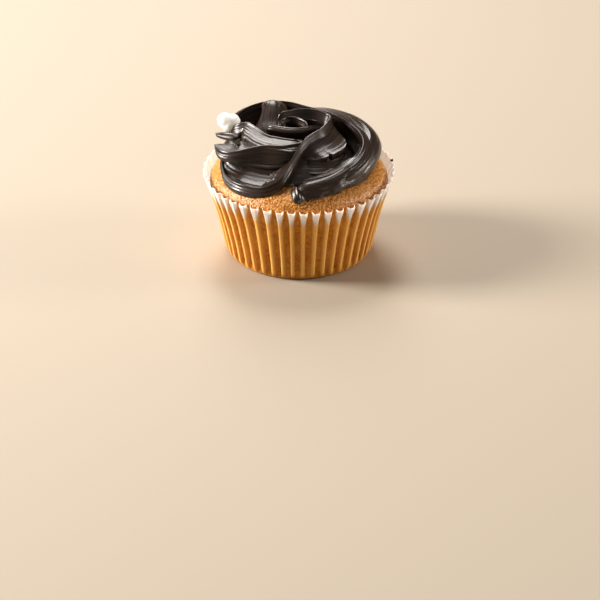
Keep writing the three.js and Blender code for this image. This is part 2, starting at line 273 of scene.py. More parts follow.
@dataclass
class Shader:
    """A node material that is built up in a few calls."""

    name: str
    material: bpy.types.Material = field(init=False)

    def __post_init__(self) -> None:
        """Starts the material with its principled shader alone."""
        self.material = bpy.data.materials.new(self.name)
        self.material.use_nodes = True
        self.nodes = self.material.node_tree.nodes
        self.links = self.material.node_tree.links
        self.principled = self.nodes["Principled BSDF"]

    def add(self, kind: str, inputs: dict | None = None, **settings) -> bpy.types.Node:
        """Adds a node.

        Args:
            kind: the node's type, such as ShaderNodeTexNoise.
            inputs: values or output sockets by input name or number.
            settings: properties of the node itself.

        Returns:
            The new node.
        """
        node = self.nodes.new(kind)
        for key, value in settings.items():
            setattr(node, key, value)
        for key, value in (inputs or {}).items():
            if isinstance(value, bpy.types.NodeSocket):
                self.links.new(value, node.inputs[key])
            else:
                node.inputs[key].default_value = value
        return node

    def place(self) -> bpy.types.NodeSocket:
        """Gives the place on the piece in metres."""
        return self.add("ShaderNodeTexCoord").outputs["Object"]

    def surface(self) -> bpy.types.NodeSocket:
        """Gives the piece's own UV map, in millimetres over the surface."""
        return self.add("ShaderNodeUVMap", uv_map="UVMap").outputs["UV"]

    def value(self, name: str) -> bpy.types.NodeSocket:
        """Gives a number stored at each point of the mesh."""
        return self.add("ShaderNodeAttribute", attribute_name=name).outputs["Fac"]

    def noise(self, where: bpy.types.NodeSocket, scale: float, detail: float = 3,
              stretch: tuple = (1, 1, 1)) -> bpy.types.NodeSocket:
        """Gives smooth noise.

        Args:
            where: the coordinates it reads.
            scale: bumps for each unit of length.
            detail: how many finer octaves it adds.
            stretch: what each axis is multiplied by first.

        Returns:
            Values of about 0.2 to 0.8.
        """
        mapped = self.add("ShaderNodeMapping", {"Vector": where, "Scale": stretch})
        made = self.add("ShaderNodeTexNoise", {
            "Vector": mapped.outputs[0], "Scale": scale, "Detail": detail})
        return made.outputs["Fac"]

    def ramp(self, factor: bpy.types.NodeSocket,
             stops: list[tuple[float, tuple]]) -> bpy.types.NodeSocket:
        """Turns a number into a colour through stops of (position, colour)."""
        node = self.add("ShaderNodeValToRGB", {"Fac": factor})
        ramp = node.color_ramp
        while len(ramp.elements) < len(stops):
            ramp.elements.new(0.5)
        for element, (position, colour) in zip(ramp.elements, stops):
            element.position = position
            element.color = (*colour, 1)
        return node.outputs["Color"]

    def range(self, value: bpy.types.NodeSocket, old: tuple, new: tuple) -> bpy.types.NodeSocket:
        """Carries a number from one range to another and holds it there."""
        made = self.add("ShaderNodeMapRange", {
            "Value": value, "From Min": old[0], "From Max": old[1], "To Min": new[0], "To Max": new[1]})
        return made.outputs["Result"]

    def mix(self, factor, first, second) -> bpy.types.NodeSocket:
        """Mixes two colours, each a colour or a socket, by a factor from 0 for the first to 1."""
        node = self.add("ShaderNodeMix", data_type="RGBA")
        sockets = [node.inputs[k] for k in MIX_COLOUR_INPUTS]
        for socket, value in zip(sockets, (factor, first, second)):
            if isinstance(value, bpy.types.NodeSocket):
                self.links.new(value, socket)
            elif isinstance(value, tuple):
                socket.default_value = (*value, 1)
            else:
                socket.default_value = value
        return node.outputs[MIX_COLOUR_OUTPUT]

    def math(self, operation: str, first, second=0.0) -> bpy.types.NodeSocket:
        """Joins two numbers, each a number or a socket."""
        return self.add("ShaderNodeMath", {0: first, 1: second}, operation=operation).outputs[0]

    def bump(self, height: bpy.types.NodeSocket, depth_mm: float,
             below: bpy.types.NodeSocket | None = None) -> bpy.types.NodeSocket:
        """Gives a bumped normal.

        Args:
            height: the relief, from 0 to 1.
            depth_mm: its full depth in millimetres.
            below: an earlier bump that this one lies on.

        Returns:
            The normal.
        """
        inputs = {"Height": height, "Strength": 1.0, "Distance": depth_mm * MM}
        if below is not None:
            inputs["Normal"] = below
        return self.add("ShaderNodeBump", inputs).outputs["Normal"]

    def finish(self, **inputs) -> bpy.types.Material:
        """Sets the principled shader's inputs, named with _ for each space, and gives the material."""
        for key, value in inputs.items():
            socket = self.principled.inputs[key.replace("_", " ")]
            if isinstance(value, bpy.types.NodeSocket):
                self.links.new(value, socket)
            else:
                socket.default_value = value
        return self.material


@dataclass(frozen=True)
class IcingFinish:
    """Very dark glossy chocolate with fine streaks along each ribbon."""

    dark: tuple = (0.0090, 0.0042, 0.0026)
    light: tuple = (0.030, 0.0150, 0.0100)
    fine_stretch: tuple = (3.2, 0.05, 1)
    broad_stretch: tuple = (0.8, 0.03, 1)
    pore_scale: float = 900
    broad_mm: float = 0.16
    fine_mm: float = 0.09
    pore_mm: float = 0.03
    rough: tuple = (0.23, 0.37)
    coat: float = 0.08
    coat_rough: float = 0.18

    def material(self) -> bpy.types.Material:
        """Builds the material from noise drawn out along the ribbons."""
        s = Shader("chocolate_icing")
        along = s.surface()
        fine = s.noise(along, 1.0, 2, stretch=self.fine_stretch)
        broad = s.noise(along, 1.0, 2, stretch=self.broad_stretch)
        pores = s.noise(s.place(), self.pore_scale, 2)
        colour = s.ramp(broad, [(0.3, self.dark), (0.75, self.light)])
        normal = s.bump(broad, self.broad_mm)
        normal = s.bump(fine, self.fine_mm, normal)
        normal = s.bump(pores, self.pore_mm, normal)
        rough = s.range(fine, STREAK_SPAN, self.rough)
        return s.finish(Base_Color=colour, Roughness=rough, Normal=normal, Specular_IOR_Level=0.5,
                        Coat_Weight=self.coat, Coat_Roughness=self.coat_rough)


@dataclass(frozen=True)
class SpongeFinish:
    """Golden brown crumb. The grain height paints the tops of the grains paler as painted highlight and
    the pits between them browner as painted shade, over the crumb's own tone.
    """

    # pit and top: colours set by grain height, painted shade between the grains and painted highlight
    # on their tops; body lies between.
    pit_painted_shade: tuple = (0.24, 0.065, 0.005)
    body: tuple = (0.42, 0.135, 0.010)
    top: tuple = (0.82, 0.43, 0.11)
    patch: tuple = (0.42, 0.16, 0.03)
    fine_scale: float = 2600
    patch_scale: float = 140
    fine_mm: float = 0.18
    rough: tuple = (0.17, 0.5)

    def material(self) -> bpy.types.Material:
        """Builds the material from the stored grain height and finer noise."""
        s = Shader("baked_sponge")
        place = s.place()
        grain = s.value("grain")
        fine = s.noise(place, self.fine_scale, 3)
        patch = s.noise(place, self.patch_scale, 2)
        # Colour follows the grain height: painted highlight on grain tops and painted shade in the
        # pits; the fine noise adds the crumb's own tone.
        tone = s.math("ADD", s.math("MULTIPLY", grain, 0.75), s.math("MULTIPLY", fine, 0.5))
        colour = s.ramp(tone, [(0.28, self.pit_painted_shade), (0.52, self.body), (0.78, self.top)])
        colour = s.mix(s.range(patch, CRUMB_SPAN, (0.0, 0.35)), colour, self.patch)
        normal = s.bump(fine, self.fine_mm)
        rough = s.range(fine, STREAK_SPAN, self.rough)
        return s.finish(Base_Color=colour, Roughness=rough, Normal=normal, Specular_IOR_Level=0.5,
                        Subsurface_Weight=0.15, Subsurface_Radius=(0.9, 0.4, 0.15),
                        Subsurface_Scale=0.001)


@dataclass(frozen=True)
class PaperFinish:
    """Greaseproof paper: white where it stands free, golden and greasy where sponge lies behind it. The
    outward folds are painted paler and the valleys darker, partly from less grease on the folds and
    partly as painted highlight and painted shade.
    """

    free: tuple = (0.90, 0.79, 0.69)
    # ridge: paler colour of the outward folds, partly less grease and partly painted highlight; against
    # it the pressed and deep valley colours carry painted shade.
    ridge: tuple = (0.88, 0.45, 0.11)
    pressed: tuple = (0.62, 0.235, 0.009)
    deep: tuple = (0.40, 0.125, 0.005)
    crumb_scale: float = 900
    patch_scale: float = 160
    fibre_scale: float = 2400
    fibre_mm: float = 0.03
    glow: tuple = (0.15, 0.85)

    def material(self) -> bpy.types.Material:
        """Builds the material from the stored ridge and free values and the crumb seen through the
        paper. The ridge value makes the folds paler and the valleys darker: partly less grease on the
        folds, partly painted highlight and painted shade.
        """
        s = Shader("case_paper")
        place = s.place()
        crumb = s.noise(place, self.crumb_scale, 3)
        patch = s.noise(place, self.patch_scale, 2)
        fibre = s.noise(place, self.fibre_scale, 2)
        behind = s.mix(s.range(crumb, CRUMB_SPAN, (0, 1)), self.deep, self.pressed)
        # Folds paler than valleys by the stored ridge value: partly less grease on the folds, partly
        # painted highlight on them and painted shade in the valleys.
        greased_with_painted_folds = s.mix(s.value("ridge"), behind, self.ridge)
        greased_with_painted_folds = s.mix(s.range(patch, (0.4, 0.7), (0, 0.3)), greased_with_painted_folds, self.ridge)
        colour = s.mix(s.value("free"), greased_with_painted_folds, self.free)
        normal = s.bump(fibre, self.fibre_mm)
        through = s.range(s.value("free"), (0, 1), self.glow)
        return s.finish(Base_Color=colour, Roughness=0.5, Normal=normal, Specular_IOR_Level=0.2,
                        Subsurface_Weight=through, Subsurface_Radius=(1.0, 0.9, 0.8),
                        Subsurface_Scale=0.001)


@dataclass(frozen=True)
class SugarFinish:
    """Off-white sugar with a soft crumbly surface."""

    colour: tuple = (0.98, 0.96, 0.92)
    shade: tuple = (0.84, 0.78, 0.70)
    crumb_scale: float = 1500
    crumb_mm: float = 0.12

    def material(self) -> bpy.types.Material:
        """Builds the material from fine noise."""
        s = Shader("white_sugar")
        fine = s.noise(s.place(), self.crumb_scale, 3)
        colour = s.mix(s.range(fine, CRUMB_SPAN, (0, 0.25)), self.colour, self.shade)
        normal = s.bump(fine, self.crumb_mm)
        return s.finish(Base_Color=colour, Roughness=0.6, Normal=normal, Specular_IOR_Level=0.4,
                        Subsurface_Weight=0.9, Subsurface_Radius=(1.0, 0.9, 0.8),
                        Subsurface_Scale=0.005)


# Paper case

@dataclass
class PaperCase:
    """Pleated paper case, in millimetres. Ridges are its outward folds."""

    base_radius: float = 25.0
    rim_radius: float = 31.8
    height: float = 30.4
    rim_front_dip: float = 1.2
    rim_wave: float = 0.25
    bow: float = 0.5
    flare: float = 0.9
    flare_start: float = 20.0
    pleats: int = 47
    first_valley: float = -91.0
    drift: float = 0.45
    depth_base: float = 0.55
    depth_rim: float = 0.72
    panel_dip: float = 0.45
    folds_start: float = 4.0
    fold_radius: float = 20.0
    opening: float = 7.0
    ridge_half: float = 0.17
    ridge_opens: float = 0.08
    fold_slope: float = 0.17
    slope_closes: float = 0.04
    free_angles: tuple = (0.7, 1.25)
    free_height: float = 9.0
    free_pull: float = 0.65
    crinkle: float = 0.07
    crinkle_size: float = 2.2
    wall: float = 0.14
    corner: float = 1.6
    columns_per_pleat: int = 20
    rows: int = 42

    def phase(self, azimuth: np.ndarray) -> np.ndarray:
        """Gives the distance from the nearest ridge, from 0 on it to 0.5 in a valley."""
        drift = math.radians(self.drift) * (np.sin(5 * azimuth + 1) + 0.6 * np.sin(11 * azimuth))
        turn = (azimuth + drift - math.radians(self.first_valley)) * self.pleats / TAU + 0.5
        return np.abs(turn - np.round(turn))

    def wave(self, azimuth: np.ndarray, height: np.ndarray) -> np.ndarray:
        """Gives the pleat's shape, 1 on a ridge and -1 in a valley.

        The ridge is a narrow fold low down and opens into a broad panel at the rim: its half
        width grows with height, and a smoothstep carries it down into the valley.
        """
        opened = smoothstep(height, self.height - self.opening, self.height)
        half = self.ridge_half + self.ridge_opens * opened
        slope = self.fold_slope - self.slope_closes * opened
        return 1 - 2 * smoothstep(self.phase(azimuth), half - slope / 2, half + slope)

    def loose(self, azimuth: np.ndarray) -> np.ndarray:
        """Gives 1 where the rim stands free, at the sides and back, and 0 where it meets the crust."""
        from_front = np.abs(np.angle(np.exp(1j * (azimuth + math.pi / 2))))
        return smoothstep(from_front, *self.free_angles)

    def depth(self, azimuth: np.ndarray, height: np.ndarray) -> np.ndarray:
        """Gives how far the folds stand out, less at the bottom corner and at the free rim."""
        fade = smoothstep(height, 0, self.folds_start)
        near_rim = smoothstep(height, self.height - self.free_height, self.height)
        spread = 1 - self.free_pull * self.loose(azimuth) * near_rim
        deepening = self.depth_rim - self.depth_base
        return fade * spread * (self.depth_base + deepening * height / self.height)

    def wall_radius(self, height: np.ndarray) -> np.ndarray:
        """Gives the wall's mean radius at a height: a straight slope, bowed in a little halfway."""
        share = height / self.height
        slope = self.base_radius + (self.rim_radius - self.base_radius) * share
        return slope - self.bow * np.sin(math.pi * share)

    def oval(self, azimuth: np.ndarray, height: np.ndarray) -> np.ndarray:
        """Gives how far the rim spreads at the sides, by the squared cosine of the azimuth."""
        return self.flare * np.cos(azimuth) ** 2 * smoothstep(height, self.flare_start, self.height)

    def rim_height(self, azimuth: np.ndarray) -> np.ndarray:
        """Gives the height of the rim, which dips at the front and waves a little."""
        tilted = self.height + self.rim_front_dip * np.sin(azimuth)
        return tilted + self.rim_wave * np.sin(3 * azimuth + 1)

    def build(self) -> bpy.types.Object:
        """Builds one closed sheet: out along the floor, up the wall, over the rim and back."""
        columns = self.pleats * self.columns_per_pleat
        azimuth = np.linspace(0, TAU, columns, endpoint=False)
        bend = np.linspace(0, math.pi / 2, 7)
        low = np.stack([self.base_radius - self.corner + self.corner * np.sin(bend),
                        self.corner - self.corner * np.cos(bend)], axis=1)
        up = np.linspace(self.corner, self.height, self.rows)[1:]
        side = np.stack([self.wall_radius(up), up], axis=1)
        floor = np.array([[0, 0], [8, 0], [16, 0], [20, 0]], dtype=float)
        outer = np.vstack([floor, low, side])
        normal = np.gradient(outer, axis=0)
        normal /= np.linalg.norm(normal, axis=1, keepdims=True)
        inner = outer + self.wall * np.stack([-normal[:, 1], normal[:, 0]], axis=1)
        inner[0, 0] = 0
        profile = np.vstack([outer, inner[::-1]])
        r, z, a = section_grid(profile, azimuth)
        wave = self.wave(a, z)
        radius = r + np.where(r > self.fold_radius, self.depth(a, z) * wave + self.oval(a, z), 0)
        crinkle = soft_noise(cartesian(radius, z, a) / self.crinkle_size, 5)
        radius += self.crinkle * crinkle * smoothstep(z, 2, 8)
        height = z * self.rim_height(a) / self.height
        dip = self.panel_dip * (1 - 0.7 * self.loose(a))
        height -= dip * (0.5 + 0.5 * wave) * smoothstep(z, self.height - 4, self.height)
        grid = cartesian(radius, height, a)
        ridge = 0.5 + 0.5 * wave
        panel = np.clip((z - (self.height - 2.0 - 4.5 * ridge)) / 2.2, 0, 1)
        panel = panel * np.clip(ridge * 1.6, 0, 1)
        above = smoothstep(z, self.height - 8, self.height - 4) * self.loose(a)
        # The ridge value is 1 on the outward folds; the paper finish uses it to paint the folds paler
        # as painted highlight and the valleys darker as painted shade, beside less grease on the folds.
        values = {"ridge": ridge * smoothstep(z, 0.5, 3), "free": np.maximum(panel, above)}
        piece = grid_piece("paper_case_folds", grid, values=values)
        dress(piece, PaperFinish().material(), "paper_case")
        return piece


# Sponge

@dataclass
class Sponge:
    """Baked sponge that fills the case and domes over it, in millimetres."""

    case: PaperCase
    gap: float = 0.35
    shoulder: float = 24.0
    dome: tuple = ((0, 35.2), (16, 34.1), (23, 32.8), (26.5, 31.4),
                   (28.4, 30.0), (29.5, 28.2), (29.9, 26.3))
    grain: float = 0.68
    relief: float = 0.45
    lump_size: float = 3.0
    lump_height: float = 0.18
    columns: int = 900
    rows: tuple = (24, 60, 12)
    hidden_top: float = 22.0

    def profile(self) -> np.ndarray:
        """Gives the section from the middle of the floor to the top of the dome, smoothed."""
        dome = np.array(self.dome[::-1], dtype=float)
        levels = np.array([2.6, 6, 12, 18, self.shoulder])
        side = np.stack([self.case.wall_radius(levels) - self.gap - 0.2, levels], axis=1)
        rough = np.vstack([[[0, 0.75], [21, 0.75]], side, dome])
        steps = np.hypot(*np.diff(rough, axis=0).T)
        along = np.concatenate([[0], np.cumsum(steps)])
        marks = (0, along[len(side) + 1], along[-1] - self.hidden_top, along[-1])
        spans = zip(marks, marks[1:], self.rows)
        at = np.concatenate([np.linspace(low, high, rows)[:-1] for low, high, rows in spans])
        at = np.append(at, along[-1])
        return np.stack([np.interp(at, along, rough[:, k]) for k in (0, 1)], axis=1)

    def build(self) -> bpy.types.Object:
        """Builds the sponge as a turned section with pleated sides and a grainy dome."""
        profile = self.profile()
        azimuth = np.linspace(0, TAU, self.columns, endpoint=False)
        r, z, a = section_grid(profile, azimuth)
        case = self.case
        pressed = 1 - smoothstep(z, self.shoulder, self.shoulder + 4.5)
        outward = pressed * case.depth(a, z) * case.wave(a, z) + case.oval(a, z)
        r = r + np.where(r > case.fold_radius, outward, 0)
        place = cartesian(r, z, a)
        coarse = grain_noise(place / self.grain, 11)
        fine = grain_noise(place / (0.5 * self.grain), 12)
        lumps = soft_noise(place / self.lump_size, 13)
        shows = smoothstep(z, self.shoulder + 1, self.shoulder + 3)
        grains = self.relief * (0.6 * coarse + 0.4 * fine - 0.35)
        lift = shows * (grains + self.lump_height * lumps)
        slope = np.gradient(profile, axis=0)
        slope /= np.linalg.norm(slope, axis=1, keepdims=True)
        out = np.broadcast_to(slope[:, 1:2], r.shape)
        upward = np.broadcast_to(-slope[:, 0:1], r.shape)
        r = r + lift * out
        z = z + lift * upward
        grid = cartesian(r, z, a)
        # The grain value is the grain height; the sponge finish turns it into painted highlight on
        # grain tops and painted shade between them.
        values = {"grain": np.clip(0.65 * coarse + 0.35 * fine, 0, 1)}
        piece = grid_piece("sponge_crumb", grid, values=values)
        dress(piece, SpongeFinish().material(), "sponge")
        return piece


# Icing

@dataclass(frozen=True)
class Flank:
    """One side of a ribbon's section: a quarter turn of the given width and drop.

    Its hollow runs from -1, a concave fall, to 1, a round shoulder, and tuck carries it back under.
    """

    width: float
    drop: float
    hollow: float
    tuck: float = 0.0

    def points(self, edge: float, root: float, steps: int) -> np.ndarray:
        """Gives the flank's points from the crest to its root, as (across, up)."""
        turn = np.linspace(0, math.pi / 2, steps + 1)[1:]
        share = (self.hollow + 1) / 2
        out = (1 - share) * (1 - np.cos(turn)) + share * np.sin(turn)
        down = (1 - share) * np.sin(turn) + share * (1 - np.cos(turn))
        fall = np.linspace(0, 1, steps // 3 + 1)[1:]
        below = self.drop + 0.6 * abs(self.drop) * fall
        under = np.stack([self.width - self.tuck * fall ** 1.5, -below - self.tuck * fall], 1)
        foot = under[-1] - [0, root]
        curve = np.vstack([np.stack([self.width * out, -self.drop * down], 1), under, foot])
        return curve + [edge, -edge]


@dataclass
class Ribbon:
    """A piped ribbon: a section carried along a smooth crest line through knots.

    Each knot is azimuth in degrees, radius and height in millimetres.
    """

    name: str
    knots: tuple
    left: Flank
    right: Flank
    root: float = 8.0
    root_to: float = 0.0
    edge: float = 0.4
    ends: tuple = (3.0, 3.0)
    left_to: Flank | None = None
    right_to: Flank | None = None
    turning: tuple = (0.25, 0.75)
    streak: float = 0.035
    flutes: float = 0.06
    grooves: tuple = (1.6, 0.03)
    groove_span: tuple = (-1.0, 2.0)
    sway: float = 0.22
    ragged: float = 0.0
    taper: float = 0.5

    def crest(self, count: int) -> tuple[np.ndarray, float]:
        """Gives evenly spaced points along the centripetal curve through the knots, and its length.

        Each stretch is a cubic between two knots whose end slopes weigh the neighbouring steps
        by the square root of their length.
        """
        azimuth, radius, height = np.array(self.knots, dtype=float).T
        azimuth = np.radians(azimuth)
        p = cartesian(radius, height, azimuth)
        p = np.vstack([2 * p[0] - p[1], p, 2 * p[-1] - p[-2]])
        step = np.sqrt(np.linalg.norm(np.diff(p, axis=0), axis=1))
        fine = np.linspace(0, 1, 60)[:-1, None]
        parts = []
        for i in range(1, len(p) - 2):
            d0, d1, d2 = step[i - 1:i + 2]
            before, here, ahead, beyond = p[i - 1:i + 3]
            t1 = ((here - before) / d0 - (ahead - before) / (d0 + d1) + (ahead - here) / d1) * d1
            t2 = ((ahead - here) / d1 - (beyond - here) / (d1 + d2) + (beyond - ahead) / d2) * d1
            parts.append((2 * fine**3 - 3 * fine**2 + 1) * here + (fine**3 - 2 * fine**2 + fine) * t1
                         + (3 * fine**2 - 2 * fine**3) * ahead + (fine**3 - fine**2) * t2)
        curve = np.vstack([*parts, p[-2:-1]])
        along = np.concatenate([[0], np.cumsum(np.linalg.norm(np.diff(curve, axis=0), axis=1))])
        at = np.linspace(0, along[-1], count)
        return np.stack([np.interp(at, along, curve[:, k]) for k in range(3)], axis=1), along[-1]

    def section(self, steps: int, left: Flank, right: Flank, root: float) -> np.ndarray:
        """Gives the closed section as (across, up), from the left root over to the right root."""
        left_side = left.points(self.edge, root, steps)[::-1] * [-1, 1]
        half_turn = np.linspace(-math.pi / 2, math.pi / 2, 9)[1:-1]
        turn = half_turn if self.edge > ROUND_EDGE else np.zeros(1)
        cap = self.edge * np.stack([np.sin(turn), np.cos(turn) - 1], axis=1)
        return np.vstack([left_side, cap, right.points(self.edge, root, steps)])

    def relief(self, s: np.ndarray, v: np.ndarray, seed: int) -> np.ndarray:
        """Gives the height of the piping marks at distance s round the section and v along the ribbon.

        Soft folds and fine lines are noise drawn out along v, and the grooves of the nozzle are
        rounded waves across s that wander a little and fade in along the ribbon. Near its start
        the right flank of a ragged ribbon also has small lumps.
        """
        def drawn(across: float, along: float, layer: float, pattern: int) -> np.ndarray:
            """Gives noise of the given sizes across and along the ribbon."""
            place = np.stack([s / across, v / along, 0 * s + layer], axis=-1)
            return soft_noise(place, seed + pattern)

        fold = 1 - np.abs(drawn(1.5, 22, 0, 0))
        line = 1 - np.abs(drawn(0.6, 14, 5, 1))
        sway = drawn(6, 9, 9, 2)
        pitch, depth = self.grooves
        wander = 0.3 * drawn(7, 16, 3, 3)
        groove = np.abs(np.sin(math.pi * (s / pitch + wander)))
        share = v / v.max()
        start, stop = self.groove_span
        fade = smoothstep(share, start - GROOVE_FADE, start + GROOVE_FADE)
        fade = fade * (1 - smoothstep(share, stop - GROOVE_FADE, stop + GROOVE_FADE))
        right_flank = smoothstep(s - s.min(), 0.5 * np.ptp(s), 0.6 * np.ptp(s))
        lumps = drawn(1.7, 2.3, 7, 4) * right_flank * (1 - smoothstep(share, 0.25, 0.4))
        return (self.flutes * (fold - 0.75) * 2 + self.streak * (line - 0.75) * 2 + self.sway * sway
                + fade * depth * (groove - 0.6) + self.ragged * lumps)

    def held_in(self, side: np.ndarray, direction: np.ndarray, step: float) -> np.ndarray:
        """Holds the section back on the inner side of a bend, so that it never folds over itself.

        The reach is a share of the bend's radius, and the offset d becomes d divided by the fourth
        root of 1 + (d / reach)^4.

        Args:
            side: offsets across the ribbon, stations by points, positive to the right.
            direction: the level heading at each station.
            step: distance between stations.

        Returns:
            The offsets that were held in.
        """
        heading = np.unwrap(np.arctan2(direction[:, 1], direction[:, 0]))
        bend = -np.gradient(heading) / step
        padded = np.pad(np.abs(bend), 3, mode="edge")
        sharpest = np.lib.stride_tricks.sliding_window_view(padded, 7).max(axis=1)
        sharpest = np.convolve(np.pad(sharpest, 2, mode="edge"), np.ones(5) / 5, mode="valid")
        reach = BEND_REACH / np.maximum(sharpest, 1e-3)[:, None]
        inner = side * np.sign(bend)[:, None] > 0
        return np.where(inner, side / (1 + np.abs(side / reach) ** 4) ** 0.25, side)

    def build(self, seed: int, steps: int = 22, spacing: float = 0.6) -> bpy.types.Object:
        """Builds the closed ribbon with grooves along it.

        Args:
            seed: picks the pattern of grooves.
            steps: points on each flank.
            spacing: distance between stations in millimetres.

        Returns:
            The ribbon as an object of its own.
        """
        _, length = self.crest(400)
        stations = max(16, int(length / spacing))
        at, _ = self.crest(stations)
        direction = np.gradient(at, axis=0)
        direction[:, 2] = 0
        direction /= np.linalg.norm(direction, axis=1, keepdims=True)
        across = np.stack([direction[:, 1], -direction[:, 0], np.zeros(stations)], axis=1)
        walk = np.linspace(0, length, stations)
        near = np.clip(np.minimum(walk / self.ends[0], (length - walk) / self.ends[1]), 0, 1)
        size = (1 - (1 - near) ** 2) ** self.taper
        first = self.section(steps, self.left, self.right, self.root)
        left_to, right_to = self.left_to or self.left, self.right_to or self.right
        last = self.section(steps, left_to, right_to, self.root_to or self.root)
        share = smoothstep(walk / length, *self.turning)[:, None, None]
        section = first[None] * (1 - share) + last[None] * share
        tangent = np.gradient(section, axis=1)
        tangent /= np.linalg.norm(tangent, axis=2, keepdims=True)
        normal = np.stack([-tangent[..., 1], tangent[..., 0]], axis=-1)
        steps_round = np.linalg.norm(np.diff(section, axis=1), axis=2)
        s = np.concatenate([np.zeros((stations, 1)), np.cumsum(steps_round, axis=1)], axis=1)
        crest = s.shape[1] // 2
        s = s - s[:, crest:crest + 1] + CREST_DISTANCE
        v = np.broadcast_to(walk[:, None], s.shape)
        shaped = section + self.relief(s, v, seed)[..., None] * normal
        middle = -np.array([self.left.drop + self.right.drop, left_to.drop + right_to.drop]) / 2
        middle = middle[0] * (1 - share[..., 0]) + middle[1] * share[..., 0]
        side = self.held_in(shaped[..., 0] * size[:, None], direction, length / (stations - 1))
        up = middle + (shaped[..., 1] - middle) * size[:, None]
        grid = at[:, None] + across[:, None] * side[..., None]
        grid[..., 2] += up
        grid[0] = grid[0].mean(axis=0)
        grid[-1] = grid[-1].mean(axis=0)
        return grid_piece(f"icing_{self.name}", grid, uv=np.stack([s, v], axis=-1))


